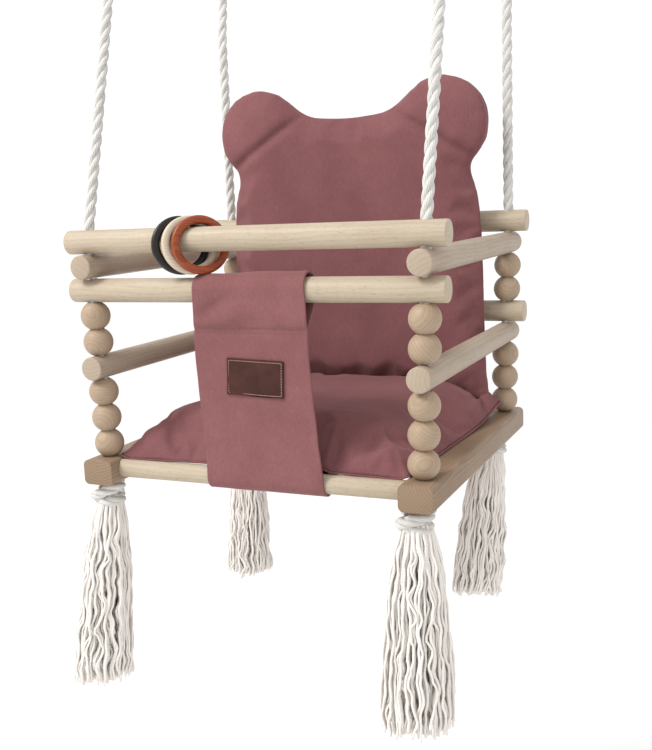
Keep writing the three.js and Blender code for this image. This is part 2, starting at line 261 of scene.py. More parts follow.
def make_leather_grain():
    """Small pebbles with darker creases between them, and a rubbed tone."""
    tree, graph, given, out, place = new_group(
        "leather_grain", [("Light", COLOUR, None), ("Shade", COLOUR, None)], ("Colour", "Height"))
    cells = graph.add("TexVoronoi", feature="DISTANCE_TO_EDGE")
    graph.feed(cells.inputs["Scale"], 0.9)
    graph.feed(cells.inputs["Vector"], place)
    pebble = graph.ramp(cells.outputs["Distance"], 0.0, 0.22)
    rubbed = graph.ramp(graph.noise(place, 0.07, 4.0, 0.65), 0.3, 0.7)
    tone = graph.plus(graph.maths("MULTIPLY", rubbed, 0.7), pebble, 0.3)
    graph.feed(out["Colour"], graph.mix(tone, given["Shade"], given["Light"]))
    graph.feed(out["Height"], pebble)
    return tree


WOOD_FIGURE = make_wood_figure()
CLOTH_NAP = make_cloth_nap()
TWISTED_FIBRE = make_twisted_fibre()
LEATHER_GRAIN = make_leather_grain()


# ---- Materials ------------------------------------------------------------------------------
def new_material(name, roughness, **sockets):
    """A material with its graph and its shader; a socket's spaces are underscores here."""
    material = bpy.data.materials.new(name)
    material.use_nodes = True
    graph = Graph(material.node_tree)
    shader = graph.nodes["Principled BSDF"]
    for label, value in {"Roughness": roughness, **sockets}.items():
        graph.feed(shader.inputs[label.replace("_", " ")], value)
    return material, graph, shader


def surfaced(made, tree, values, bump, grained=False):
    """Colours and raises a new material by a shader group; bump is a distance and a strength."""
    material, graph, shader = made
    group = graph.add("Group", node_tree=tree)
    values["Place"] = graph.attribute("grain") if grained else graph.place()
    for label, value in values.items():
        graph.feed(group.inputs[label.replace("_", " ")], value)
    graph.feed(shader.inputs["Base Color"], group.outputs["Colour"])
    raised = {"Distance": bump[0] * MM, "Strength": bump[1], "Height": group.outputs["Height"]}
    graph.feed(shader.inputs["Normal"], graph.add("Bump", raised).outputs["Normal"])
    return group


def wood(name, pale, dark, ring_width, ring_strength, fleck):
    made = new_material(name, 0.55, Specular_IOR_Level=0.35)
    values = {"Pale": pale, "Dark": dark, "Ring Width": ring_width,
              "Ring Strength": ring_strength, "Fleck": fleck}
    group = surfaced(made, WOOD_FIGURE, values, (0.15, 0.5), grained=True)
    material, graph, shader = made
    graph.feed(shader.inputs["Roughness"], group.outputs["Roughness"])
    return material


def cloth(name, light, shade, sheen):
    made = new_material(name, 0.92, Specular_IOR_Level=0.15, Sheen_Weight=sheen,
                        Sheen_Roughness=0.45, Sheen_Tint=(0.85, 0.6, 0.6))
    surfaced(made, CLOTH_NAP, {"Light": light, "Shade": shade}, (0.35, 0.6))
    return made[0]


def cotton(name, light, shade, yarns, slant, bump):
    made = new_material(name, 0.9, Specular_IOR_Level=0.2, Sheen_Weight=0.2)
    values = {"Light": light, "Shade": shade, "Yarns": yarns, "Slant": slant,
              "Lay": made[1].attribute("lay")}
    surfaced(made, TWISTED_FIBRE, values, (bump, 0.8))
    return made[0]


def leather(name, light, shade):
    made = new_material(name, 0.6, Specular_IOR_Level=0.25)
    surfaced(made, LEATHER_GRAIN, {"Light": light, "Shade": shade}, (0.12, 0.6))
    return made[0]


def stained(name, light, shade):
    """A ring's paint-like stain, with the wood's figure just showing."""
    made = new_material(name, 0.35, Specular_IOR_Level=0.3, Coat_Weight=0.15, Coat_Roughness=0.3)
    values = {"Pale": light, "Dark": shade, "Ring Width": 3.0, "Ring Strength": 0.5, "Fleck": 0.3}
    surfaced(made, WOOD_FIGURE, values, (0.06, 0.5), grained=True)
    return made[0]


def metal(name, colour):
    material, graph, shader = new_material(name, 0.32, Metallic=1.0)
    spots = graph.noise(graph.place(), 900.0, 3.0)
    graph.feed(shader.inputs["Base Color"],
               graph.mix(spots, colour, tuple(0.75 * c for c in colour)))
    graph.feed(shader.inputs["Roughness"], graph.ramp(spots, -0.6, 1.6))
    return material


BAR_WOOD = wood("bar_wood", (0.455, 0.385, 0.29), (0.36, 0.275, 0.185), 5.0, 0.3, 0.8)
# The side bars' wood is the bar wood made darker: painted shade for the soft shade that falls on
# the swing's sides away from the key light.
SHADED_SIDE_BAR_WOOD = wood("side_bar_wood_painted_shade", (0.39, 0.315, 0.24), (0.30, 0.225, 0.16), 5.0, 0.3, 0.8)
BEAD_WOOD = wood("bead_wood", (0.375, 0.28, 0.195), (0.28, 0.195, 0.125), 3.2, 0.38, 0.6)
BEAM_WOOD = wood("beam_wood", (0.265, 0.182, 0.117), (0.18, 0.115, 0.07), 3.4, 0.5, 0.6)
ROPE_COTTON = cotton("rope_cotton", (0.68, 0.665, 0.64), (0.48, 0.46, 0.43), 5, 120, 0.35)
TASSEL_YARN = cotton("tassel_yarn", (0.86, 0.82, 0.775), (0.68, 0.635, 0.59), 2, 260, 0.3)
CUSHION_CLOTH = cloth("cushion_cloth", (0.235, 0.098, 0.102), (0.150, 0.058, 0.062), 0.12)
FLAP_CLOTH = cloth("flap_cloth", (0.248, 0.104, 0.106), (0.160, 0.063, 0.065), 0.2)
PATCH_LEATHER = leather("patch_leather", (0.060, 0.016, 0.010), (0.032, 0.008, 0.005))
PATCH_THREAD = cotton("patch_thread", (0.46, 0.28, 0.22), (0.32, 0.18, 0.14), 2, 900, 0.05)
FLAP_THREAD = cotton("flap_thread", (0.24, 0.10, 0.105), (0.16, 0.065, 0.07), 2, 900, 0.05)
RING_COLOURS = {
    "black": stained("ring_black", (0.010, 0.007, 0.005), (0.005, 0.0035, 0.0025)),
    "natural": stained("ring_natural", (0.56, 0.47, 0.37), (0.46, 0.36, 0.26)),
    "orange": stained("ring_orange", (0.29, 0.055, 0.012), (0.12, 0.017, 0.004)),
}
STEEL = metal("fitting_steel", (0.62, 0.63, 0.65))


# ---- Making pieces --------------------------------------------------------------------------
def new_object(name, data):
    made = bpy.data.objects.new(name, data)
    bpy.context.collection.objects.link(made)
    return made


def add_modifier(piece, name, kind, **settings):
    modifier = piece.modifiers.new(name, kind)
    for label, value in settings.items():
        setattr(modifier, label, value)
    return modifier


def plain_mesh(name, shape):
    """The bmesh as a mesh. The bmesh is freed."""
    mesh = bpy.data.meshes.new(name)
    shape.to_mesh(mesh)
    shape.free()
    return mesh


def smooth_and_place(mesh, place, sharp=35):
    """The mesh with its place in it, shaded smooth except at sharp edges."""
    mesh.transform(place)
    mesh.polygons.foreach_set("use_smooth", [True] * len(mesh.polygons))
    mesh.set_sharp_from_angle(angle=math.radians(sharp))
    return mesh


def finish_mesh(name, shape, place, sharp=35):
    return smooth_and_place(plain_mesh(name, shape), place, sharp)


def closed_pairs(items):
    return zip(items, items[1:] + items[:1])


def clamped(value):
    return max(0.0, min(1.0, value))


def along_table(table, at):
    """The value at a place between the [place, value] rows of a table."""
    for (a, low), (b, high) in zip(table, table[1:]):
        if at <= b:
            return low + (high - low) * (at - a) / (b - a)
    return table[-1][1]


def fill_rows(shape, rows, flip=False):
    """Faces between rows of points."""
    for a, b in zip(rows, rows[1:]):
        for k in range(len(a) - 1):
            corners = (a[k], a[k + 1], b[k + 1], b[k])
            shape.faces.new(corners[::-1] if flip else corners)


def cube_of(x, y, z):
    shape = bmesh.new()
    bmesh.ops.create_cube(shape, size=1)
    bmesh.ops.scale(shape, vec=mm(x, y, z), verts=shape.verts)
    return shape


def bevel(shape, edges, width, segments):
    bmesh.ops.bevel(shape, geom=edges, offset=width * MM, segments=segments, profile=0.5,
                    affect="EDGES", material=-1)


def spin(shape, geom, steps):
    """Spins points and edges all the way round Z."""
    bmesh.ops.spin(shape, geom=geom, cent=(0, 0, 0), axis=(0, 0, 1), angle=2 * math.pi,
                   steps=steps, use_merge=True)


def spun_solid(outline, steps):
    """A solid of revolution about Z from a closed outline of [radius, height] points."""
    shape = bmesh.new()
    points = [shape.verts.new(mm(r, 0, z)) for r, z in outline]
    for pair in closed_pairs(points):
        shape.edges.new(pair)
    spin(shape, shape.verts[:] + shape.edges[:], steps)
    bmesh.ops.remove_doubles(shape, verts=shape.verts, dist=1e-6)
    bmesh.ops.recalc_face_normals(shape, faces=shape.faces)
    return shape


def add_piece(name, mesh, body, material, slot, *nodes):
    """An object at the origin that rides on a body and stands for the named CAD nodes."""
    if not mesh.materials:
        mesh.materials.append(material)
    piece = new_object(name, mesh)
    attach(piece, body)
    if nodes:
        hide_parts(*nodes)
    return piece


def baked_mesh(piece):
    """The piece's mesh with its modifiers applied. The piece itself is deleted."""
    bpy.context.view_layer.update()
    depsgraph = bpy.context.evaluated_depsgraph_get()
    mesh = bpy.data.meshes.new_from_object(piece.evaluated_get(depsgraph))
    bpy.data.objects.remove(piece, do_unlink=True)
    return mesh


def store_grain(mesh, along="Z", offset=(0, 0, 0), turn=None):
    """Keeps each point's place with the grain along X, before the mesh is put in its place."""
    order = {"X": (0, 1, 2), "Y": (1, 2, 0), "Z": (2, 0, 1)}[along]
    values = []
    for vertex in mesh.vertices:
        spot = Vector([vertex.co[i] for i in order])
        if turn is not None:
            spot = turn @ spot
        values.extend(spot + Vector(offset))
    layer = mesh.attributes.new("grain", "FLOAT_VECTOR", "POINT")
    layer.data.foreach_set("vector", values)


def drilled(mesh, holes):
    """The mesh with round holes cut in it; each hole is (place, direction, radius, length)."""
    for place, direction, radius, length in holes:
        body = new_object("drilled", mesh)
        turn = Vector((0, 0, 1)).rotation_difference(Vector(direction)).to_matrix().to_4x4()
        shape = bmesh.new()
        bmesh.ops.create_cone(shape, cap_ends=True, segments=32, radius1=radius, radius2=radius,
                              depth=length, matrix=Matrix.Translation(place) @ turn)
        tool = new_object("drill", plain_mesh("drill", shape))
        add_modifier(body, "cut", "BOOLEAN", operation="DIFFERENCE", object=tool, solver="EXACT")
        mesh = baked_mesh(body)
        bpy.data.objects.remove(tool, do_unlink=True)
    return mesh


def round_bar(length, radius, rim=1.6):
    """A bar along Z with softly rounded rims."""
    shape = bmesh.new()
    bmesh.ops.create_cone(shape, cap_ends=True, segments=64, radius1=radius * MM,
                          radius2=radius * MM, depth=length * MM)
    rims = [e for e in shape.edges if abs(abs(e.verts[0].co.z) + abs(e.verts[1].co.z)
                                          - length * MM) < 1e-6]
    bevel(shape, rims, rim, 3)
    return plain_mesh("bar", shape)


chance = random.Random(11)


def heart():
    """Where a piece's growth rings are centred, as an offset from its middle."""
    angle = chance.uniform(0, 2 * math.pi)
    reach = chance.uniform(28, 60) * MM
    return (chance.uniform(-1, 1), reach * math.cos(angle), reach * math.sin(angle))


ALONG_X = Matrix.Rotation(math.pi / 2, 4, "Y")
ALONG_Y = Matrix.Rotation(-math.pi / 2, 4, "X")
DRILL_LENGTH = 0.04


# ---- Bars, rods and beams -------------------------------------------------------------------
def roped_bar(half, rope_at):
    """A bar along Z with a rope hole near each end, along X."""
    bar = round_bar(2 * half, BAR_D / 2)
    bar = drilled(bar, [((0, 0, s * rope_at * MM), (1, 0, 0), ROPE_HOLE_R * MM, DRILL_LENGTH)
                        for s in (-1, 1)])
    store_grain(bar, "Z", heart())
    return bar


def cross_bar(node, body, place, rope_x):
    """A bar along X."""
    bar = smooth_and_place(roped_bar(rope_x + BAR_OVERHANG, rope_x), place @ ALONG_X)
    add_piece(f"{node}_wood", bar, body, BAR_WOOD, "bar_wood", node)


def side_bar(node, side_x, z):
    bar = roped_bar(COLUMN_Y + SIDE_BAR_OVERHANG, COLUMN_Y)
    place = SEAT @ Matrix.Translation(mm(side_x * column_x(z), 0, z)) @ ALONG_Y
    place = place @ Matrix.Rotation(math.pi / 2, 4, "Z")
    # The side bars take the darker copy of the bar wood, which is painted shade.
    add_piece(f"{node}_wood", smooth_and_place(bar, place), "seat", SHADED_SIDE_BAR_WOOD, "bar_wood", node)


def beam(side, sign):
    """A square beam along Y, its corners well rounded and its ends sawn and eased."""
    shape = cube_of(BEAM_W, BEAM_LENGTH, BEAM_H)
    bevel(shape, [e for e in shape.edges if abs(e.verts[0].co.y - e.verts[1].co.y) > 0.1], 6.5, 6)
    bevel(shape, [e for e in shape.edges if abs(e.verts[0].co.y - e.verts[1].co.y) < 1e-6], 1.2, 2)
    holes = [((0, s * COLUMN_Y * MM, 0), (0, 0, 1), ROPE_HOLE_R * MM, DRILL_LENGTH)
             for s in (-1, 1)]
    holes += [((-sign * BEAM_W / 2 * MM, y * MM, (ROD_Z + BEAM_H / 2) * MM), (1, 0, 0),
               (ROD_D / 2 + 0.3) * MM, 0.0206) for y in ROD_Y]
    mesh = drilled(plain_mesh("beam", shape), holes)
    store_grain(mesh, "Y", heart())
    place = SEAT @ Matrix.Translation(mm(sign * COLUMN_X, 0, -BEAM_H / 2))
    add_piece(f"{side}_beam_wood", smooth_and_place(mesh, place), "seat", BEAM_WOOD, "beam_wood",
              f"{side}_beam")


def seat_rod(index, y):
    rod = round_bar(2 * (COLUMN_X - BEAM_W / 2 + 10), ROD_D / 2, 1.0)
    store_grain(rod, "Z", heart())
    place = SEAT @ Matrix.Translation(mm(0, y, ROD_Z)) @ ALONG_X
    add_piece(f"seat_rod_{index}_wood", smooth_and_place(rod, place), "seat", BAR_WOOD, "bar_wood",
              f"seat_rod_{index}")


def make_frame_wood():
    cross_bar("front_top_bar", "front_top_bar", LEAN["front"][0], column_x(TOP_BAR_Z))
    cross_bar("back_top_bar", "back_ropes", LEAN["back"][0], column_x(TOP_BAR_Z))
    for end, y, z in (("front", -COLUMN_Y, FRONT_SECOND_Z), ("back", COLUMN_Y, BACK_SECOND_Z)):
        cross_bar(f"{end}_second_bar", "seat", SEAT @ Matrix.Translation(mm(0, y, z)), column_x(z))
    for side, sign in SIDES:
        side_bar(f"{side}_lower_side_bar", sign, SIDE_LOW_Z)
        side_bar(f"{side}_upper_side_bar", sign, SIDE_HIGH_Z)
        beam(side, sign)
    for index, y in enumerate(ROD_Y, 1):
        seat_rod(index, y)


# ---- Beads ----------------------------------------------------------------------------------
BEAD_HEIGHTS = {
    "front": (15.9, 47.4, 78.9, 138.7, 170.2),
    "back": (15.9, 47.4, 78.9, 167.0, 198.5),
}


def turned_bead():
    """A drilled ball, spun from its outline: the ball's arc, eased rims and the bore."""
    steps = 22
    tilt = math.asin((BEAD_HALF - 0.5) / (BEAD_D / 2))
    outline = []
    for i in range(steps + 1):
        angle = -tilt + 2 * tilt * i / steps
        outline.append((BEAD_D / 2 * math.cos(angle), BEAD_D / 2 * math.sin(angle)))
    outline += [(ROPE_HOLE_R + 0.5, BEAD_HALF), (ROPE_HOLE_R, BEAD_HALF - 0.7),
                (ROPE_HOLE_R, 0.7 - BEAD_HALF), (ROPE_HOLE_R + 0.5, -BEAD_HALF)]
    return plain_mesh("bead", spun_solid(outline, 48))


def make_beads():
    for end, side, sy, sx in CORNERS:
        for index, z in enumerate(BEAD_HEIGHTS[end], 1):
            mesh = turned_bead()
            turn = Euler([chance.uniform(-0.5, 0.5), chance.uniform(-0.5, 0.5),
                          chance.uniform(0, 6.28)]).to_matrix()
            store_grain(mesh, "Z", heart(), turn)
            place = SEAT @ Matrix.Translation(mm(sx * column_x(z), sy * COLUMN_Y, z))
            mesh = smooth_and_place(mesh, place)
            node = f"bead_{end}_{side}_{index}"
            add_piece(f"{node}_wood", mesh, node, BEAD_WOOD, "bead_wood", node)


# ---- Ropes ----------------------------------------------------------------------------------
# [sideways, height above the eye wire] of the rope's end, round the eye and back beside itself
ROPE_END = (
    (0, -200), (2, -172), (5.6, -150), (6.8, -130), (6.8, -106), (8, -84), (16, -52), (25, -24),
    (24, -4), (14.5, 8.5), (0, 13), (-14.5, 8.5), (-24, -4), (-25, -24), (-16, -52), (-8, -84),
    (-6.8, -106), (-6.8, -122),
)
ROPE_START = -10


def smooth_line(points, step):
    """A Catmull-Rom line through the points, in equal steps."""
    ends = [2 * points[0] - points[1], *points, 2 * points[-1] - points[-2]]
    fine = []
    for four in zip(ends, ends[1:], ends[2:], ends[3:]):
        knots = [0.0]
        for p, q in zip(four, four[1:]):
            knots.append(knots[-1] + max((q - p).length, 1e-9) ** 0.5)
        for i in range(24):
            t = knots[1] + (knots[2] - knots[1]) * i / 24
            first = [four[k].lerp(four[k + 1], (t - knots[k]) / (knots[k + 1] - knots[k]))
                     for k in range(3)]
            second = [first[k].lerp(first[k + 1], (t - knots[k]) / (knots[k + 2] - knots[k]))
                      for k in range(2)]
            fine.append(second[0].lerp(second[1], (t - knots[1]) / (knots[2] - knots[1])))
    fine.append(points[-1])
    return equal_steps(fine, step)


def direction(line, i):
    """From the point before to the point after."""
    return line[min(i + 1, len(line) - 1)] - line[max(i - 1, 0)]


def equal_steps(line, step):
    lengths = [0.0]
    for p, q in zip(line, line[1:]):
        lengths.append(lengths[-1] + (q - p).length)
    count = max(2, round(lengths[-1] / step))
    out, index = [], 0
    for i in range(count + 1):
        target = lengths[-1] * i / count
        while index < len(line) - 2 and lengths[index + 1] < target:
            index += 1
        span = lengths[index + 1] - lengths[index] or 1
        out.append(line[index].lerp(line[index + 1], (target - lengths[index]) / span))
    return out


def strands_round(line, lay, offset, start=0.0, count=3):
    """Lines of the strands that wind right-handed round a line."""
    ahead = (line[1] - line[0]).normalized()
    normal = ahead.orthogonal().normalized()
    strands = [[] for _ in range(count)]
    travelled = 0.0
    for i, point in enumerate(line):
        forward = direction(line, i).normalized()
        normal = (ahead.rotation_difference(forward) @ normal).normalized()
        normal = (normal - forward * normal.dot(forward)).normalized()
        other = forward.cross(normal)
        ahead = forward
        if i:
            travelled += (point - line[i - 1]).length
        for k, strand in enumerate(strands):
            angle = start + 2 * math.pi * (travelled / lay + k / count)
            strand.append(point + offset * (normal * math.cos(angle) + other * math.sin(angle)))
    return strands


def tubes(name, lines, radii, sides=10):
    """One mesh of round tubes along the lines, closed at their ends. The lay attribute holds the
    distance along, the turn round it, and the number of the tube."""
    points, faces, lay = [], [], []
    for number, (line, radius) in enumerate(zip(lines, radii)):
        ahead = (line[1] - line[0]).normalized()
        normal = ahead.orthogonal().normalized()
        first, travelled = len(points), 0.0
        for i, centre in enumerate(line):
            forward = direction(line, i).normalized()
            normal = (ahead.rotation_difference(forward) @ normal).normalized()
            other = forward.cross(normal)
            ahead = forward
            travelled += (centre - line[i - 1]).length if i else 0
            size = radius if isinstance(radius, float) else radius[i]
            for k in range(sides):
                angle = 2 * math.pi * k / sides
                points.append(centre + size * (normal * math.cos(angle) + other * math.sin(angle)))
                lay.extend((travelled, abs(2 * k / sides - 1), number))
        for i in range(len(line) - 1):
            ring = first + i * sides
            for k in range(sides):
                after = (k + 1) % sides
                faces.append((ring + k, ring + after, ring + sides + after, ring + sides + k))
        last = first + (len(line) - 1) * sides
        faces.append(tuple(first + k for k in reversed(range(sides))))
        faces.append(tuple(last + k for k in range(sides)))
    mesh = bpy.data.meshes.new(name)
    mesh.from_pydata(points, [], faces)
    layer = mesh.attributes.new("lay", "FLOAT_VECTOR", "POINT")
    layer.data.foreach_set("vector", lay)
    mesh.polygons.foreach_set("use_smooth", [len(face) == 4 for face in faces])
    return mesh


STRAND_R = 3.55
STRAND_OFFSET = ROPE_D / 2 - 3.3


def rope_mesh(name, line, start=0.0):
    strands = strands_round(line, ROPE_LAY * MM, STRAND_OFFSET * MM, start)
    return tubes(name, strands, [STRAND_R * MM] * 3, 10)


def whipping(name, centre, along, across, width, turns, thread_r, length):
    """Thread wound round the rope and its tail, as an oval coil."""
    side = along.cross(across)
    line = []
    for i in range(turns * 16 + 1):
        angle = 2 * math.pi * i / 16
        up = length * (i / (turns * 16) - 0.5)
        line.append(centre + along * up + across * width[0] * math.cos(angle)
                    + side * width[1] * math.sin(angle))
    return tubes(name, [line], [thread_r], 6)


def make_free_ropes():
    for end, side, _, sx in CORNERS:
        place, length = LEAN[end]
        x = sx * column_x(TOP_BAR_Z)
        body = f"{end}_ropes"
        route = [(0, ROPE_START), (0, length / 2 - 60), (0, length / 2)]
        route += [(across, length + up) for across, up in ROPE_END]
        line = smooth_line([place @ mm(x, across, up) for across, up in route], 2.4 * MM)
        name = f"{end}_{side}_hanging_rope"
        mesh = rope_mesh(name, line, chance.uniform(0, 6))
        rope = add_piece(name, mesh, body, ROPE_COTTON, "rope_cotton", f"rope_{end}_{side}")
        up = (place.to_3x3() @ Vector((0, 0, 1))).normalized()
        out = (place.to_3x3() @ Vector((0, 1, 0))).normalized()
        for number, (height, turns) in enumerate(((-100, 7), (-116, 5)), 1):
            label = f"{name}_binding_{number}"
            thread = whipping(label, place @ mm(x, 0, length + height), up, out,
                              (14.4 * MM, 7.6 * MM), turns, 0.8 * MM, turns * 1.6 * MM)
            add_piece(label, thread, body, TASSEL_YARN, "tassel_yarn")


make_free_ropes()
make_frame_wood()
make_beads()


# ---- Ropes through the columns, and their knots ---------------------------------------------
TASSEL_SHAPE = ((0, 11.5), (0.05, 15.5), (0.2, 23), (0.4, 27.5), (0.65, 31), (0.85, 34), (1, 34))
TASSEL_SIZES = {  # yarn length, spread, how far the knot sits off its column, lean
    ("front", "left"): (220, 1.06, 8, 15), ("front", "right"): (214, 1.2, 8, -3),
    ("back", "left"): (208, 0.98, 5, -2), ("back", "right"): (198, 1.0, 15, 20),
}
KNOT_TURN = (  # the knot's route: degrees round the rope, distance from its middle, height
    (60, 8, -33.4), (35, 13.5, -35), (8, 16, -36.4), (-20, 17, -37.8), (-50, 17, -39.6),
    (-80, 16.6, -42), (-108, 16.6, -45), (-135, 17, -48), (-160, 17, -50.4), (-190, 15.4, -51.8),
    (-230, 13.4, -51.8), (-270, 12.6, -52), (-305, 12.8, -53), (-340, 13.6, -54.2),
    (-375, 14, -55), (-410, 13.6, -55.2), (-445, 13, -54.8), (-480, 11, -53.6), (-515, 6, -52.6),
)
KNOT_TUCK = (  # a second, shorter turn behind the first, seen at the back and the right
    (-60, 5, -37), (-20, 9, -39.5), (20, 12.5, -42.5), (55, 13.8, -43.6), (95, 13.6, -42.4),
    (135, 13.2, -40.6), (170, 12.4, -38.6), (205, 8, -37),
)


def column_frame(sx, sy):
    lean = Matrix.Rotation(sx * math.atan(COLUMN_SPLAY), 4, "Y")
    return SEAT @ Matrix.Translation(mm(sx * COLUMN_X, sy * COLUMN_Y, 0)) @ lean


def knot_points(turns, shift):
    spots = []
    for degrees, reach, z in turns:
        angle = math.radians(degrees)
        spots.append((reach * math.cos(angle) - shift, reach * math.sin(angle), z))
    return spots


def make_knotted_ropes():
    for end, side, sy, sx in CORNERS:
        place = column_frame(sx, sy)
        shift = TASSEL_SIZES[end, side][2]
        route = [(0, 0, TOP_BAR_Z - 10.2), (0, 0, 120), (0, 0, 0), (0, 0, -26), (0.5, 2, -31)]
        route += knot_points(KNOT_TURN, shift)
        route += [(2 - shift, 0, -53), (-shift / 2, 0, -59)]
        strands = []
        for path in (route, knot_points(KNOT_TUCK, shift)):
            line = smooth_line([place @ mm(*point) for point in path], 1.8 * MM)
            strands += strands_round(line, ROPE_LAY * MM, STRAND_OFFSET * MM, chance.uniform(0, 6))
        name = f"knotted_rope_{end}_{side}"
        mesh = tubes(name, strands, [STRAND_R * MM] * len(strands), 10)
        add_piece(f"{name}_cotton", mesh, "seat", ROPE_COTTON, "rope_cotton", name)


make_knotted_ropes()


# ---- Tassels --------------------------------------------------------------------------------
TASSEL_NECK = 57.3  # below the beam top, where a tassel swings
YARNS = 210
YARN_R = 1.6
YARN_STEPS = 46
LOCKS = 26
GOLDEN_ANGLE = 2.39996


def tassel_yarns(length, spread, shift, lean):
    """Wavy yarns that leave the knot together, keep to uneven locks and end unevenly."""
    seed = chance.uniform(0, 90)
    lines = []
    for i in range(YARNS):
        share = math.sqrt((i + 0.5) / YARNS)
        angle = i * GOLDEN_ANGLE + chance.uniform(-0.12, 0.12)
        lock = int((angle % 6.28318) / 6.28318 * LOCKS) + (LOCKS if share < 0.65 else 0)
        near = lock * 7.13 + seed
        reach = length + 7 * noise.noise((near, 1.7, 0)) + chance.uniform(-5, 4)
        own = chance.uniform(0, 50)
        loose = chance.uniform(0.6, 1.5)
        line = []
        for k in range(YARN_STEPS + 1):
            down = k / YARN_STEPS
            at = down * reach / 21
            swell = min(1, down * 3.6) * loose
            field = (seed + 2.2 * share * math.cos(angle), 2.2 * share * math.sin(angle))
            swing = swell * (6.5 * noise.noise((*field, at))
                             + 2.2 * noise.noise((own, at * 1.9, 5)))
            swing += swell * 3.0 * noise.noise((near, at * 1.4, 0.3))
            drift = swell * (3 * noise.noise((*field, at + 60))
                             + 1.2 * noise.noise((own, at * 1.6, 9)))
            radius = share * along_table(TASSEL_SHAPE, down) * spread + drift
            x = radius * math.cos(angle) - swing * math.sin(angle)
            y = radius * math.sin(angle) + swing * math.cos(angle)
            x -= shift + lean * down ** 0.8
            line.append(mm(x, y, 11 - down * (reach + 11)))
        lines.append(line)
    return lines


def make_tassels():
    for end, side, sy, sx in CORNERS:
        tip = SEAT @ mm(sx * column_x(-TASSEL_NECK), sy * COLUMN_Y, -TASSEL_NECK)
        lines = tassel_yarns(*TASSEL_SIZES[end, side])
        widths = [[YARN_R * MM * (0.86 + 0.28 * chance.random())] * len(line) for line in lines]
        mesh = tubes("tassel", lines, widths, 6)
        mesh.transform(Matrix.Translation(tip))
        node = f"tassel_{end}_{side}"
        add_piece(f"{node}_yarn", mesh, node, TASSEL_YARN, "tassel_yarn", node)


make_tassels()


# ---- Play rings -----------------------------------------------------------------------------
RING_R = 28.5
RING_HALF_WIDTH, RING_HALF_THICK = 4.7, 4.3
RING_X, RING_STEP, RING_DROP, RING_TURN = -80, 13, 6.3, math.radians(45)


def make_rings():
    for number, (colour, material) in enumerate(RING_COLOURS.items()):
        outline = []
        for i in range(28):
            angle = 2 * math.pi * i / 28
            c, s = math.cos(angle), math.sin(angle)
            x = math.copysign(abs(c) ** 0.72, c) * RING_HALF_WIDTH
            z = math.copysign(abs(s) ** 0.72, s) * RING_HALF_THICK
            outline.append((RING_R + x, z))
        mesh = plain_mesh("ring", spun_solid(outline, 112))
        store_grain(mesh, "X", heart())
        at = mm(RING_X + number * RING_STEP, 0, -RING_DROP)
        place = LEAN["front"][0] @ Matrix.Translation(at)
        place = place @ Matrix.Rotation(RING_TURN, 4, "Z") @ Matrix.Rotation(math.pi / 2, 4, "X")
        node = f"{colour}_ring"
        add_piece(f"{node}_wood", smooth_and_place(mesh, place, 60), node, material,
                  f"ring_{colour}", node)


make_rings()


# ---- Ceiling fittings -----------------------------------------------------------------------
PLATE_LENGTH, PLATE_WIDTH, PLATE_THICK = 60, 36, 5
SCREW_X = 22
SCREW_OUTLINE = ((0, -6.1), (1.5, -6.1), (1.7, -7.4), (4.4, -7.2), (5.6, -6.2), (5.8, -5.1),
                 (2.8, -5), (2.8, -0.5), (0, -0.5))


def bevelled_box(size, corner, rim):
    shape = cube_of(*size)
    bevel(shape, [e for e in shape.edges if abs(e.verts[0].co.z - e.verts[1].co.z) > 1e-6],
          corner, 6)
    bevel(shape, [e for e in shape.edges if abs(e.verts[0].co.z - e.verts[1].co.z) < 1e-6],
          rim, 2)
    return shape


def lathe(shape, outline, steps, place=Matrix()):
    """Adds a solid of revolution about Z from [radius, height] points that start and end on it."""
    before = set(shape.verts)
    points = [shape.verts.new(mm(r, 0, z)) for r, z in outline]
    edges = [shape.edges.new(pair) for pair in zip(points, points[1:])]
    spin(shape, points + edges, steps)
    made = [v for v in shape.verts if v not in before]
    bmesh.ops.remove_doubles(shape, verts=made, dist=1e-7)
    made = [v for v in shape.verts if v not in before]
    bmesh.ops.transform(shape, matrix=place, verts=made)


def make_ceiling_eyes():
    for end, side, sy, sx in CORNERS:
        place = Matrix.Translation(mm(sx * column_x(TOP_BAR_Z), sy * EYE_Y, 0))
        shape = bevelled_box((PLATE_LENGTH, PLATE_WIDTH, PLATE_THICK), 8, 0.6)
        plate = plain_mesh("plate", shape)
        plate.transform(Matrix.Translation(mm(0, 0, -PLATE_THICK / 2)))
        plate = drilled(plate, [(mm(s * SCREW_X, 0, -PLATE_THICK / 2), (0, 0, 1), 3 * MM, 0.02)
                                for s in (-1, 1)])
        shape = bmesh.new()
        shape.from_mesh(plate)
        lathe(shape, ((0, -4.5), (7.4, -4.5), (7.4, -6.4), (5, -8), (5, -14), (0, -14)), 32)
        circle = [(EYE_RING_R + EYE_WIRE_R * math.cos(2 * math.pi * i / 16),
                   EYE_WIRE_R * math.sin(2 * math.pi * i / 16)) for i in range(17)]
        upright = Matrix.Translation(mm(0, 0, EYE_Z + EYE_RING_R))
        lathe(shape, circle, 56, upright @ Matrix.Rotation(math.pi / 2, 4, "X"))
        bmesh.ops.recalc_face_normals(shape, faces=shape.faces)
        name = f"ceiling_eye_{end}_{side}"
        mesh = finish_mesh(name, shape, place)
        add_piece(f"{name}_steel", mesh, "root", STEEL, "fitting_steel", name)
        for number, s in enumerate((-1, 1), 1):
            shape = bmesh.new()
            lathe(shape, SCREW_OUTLINE, 28)
            bmesh.ops.recalc_face_normals(shape, faces=shape.faces)
            at = place @ Matrix.Translation(mm(s * SCREW_X, 0, 0))
            screw = finish_mesh("screw", shape, at)
            add_piece(f"{name}_screw_{number}", screw, "root", STEEL, "fitting_steel")


make_ceiling_eyes()


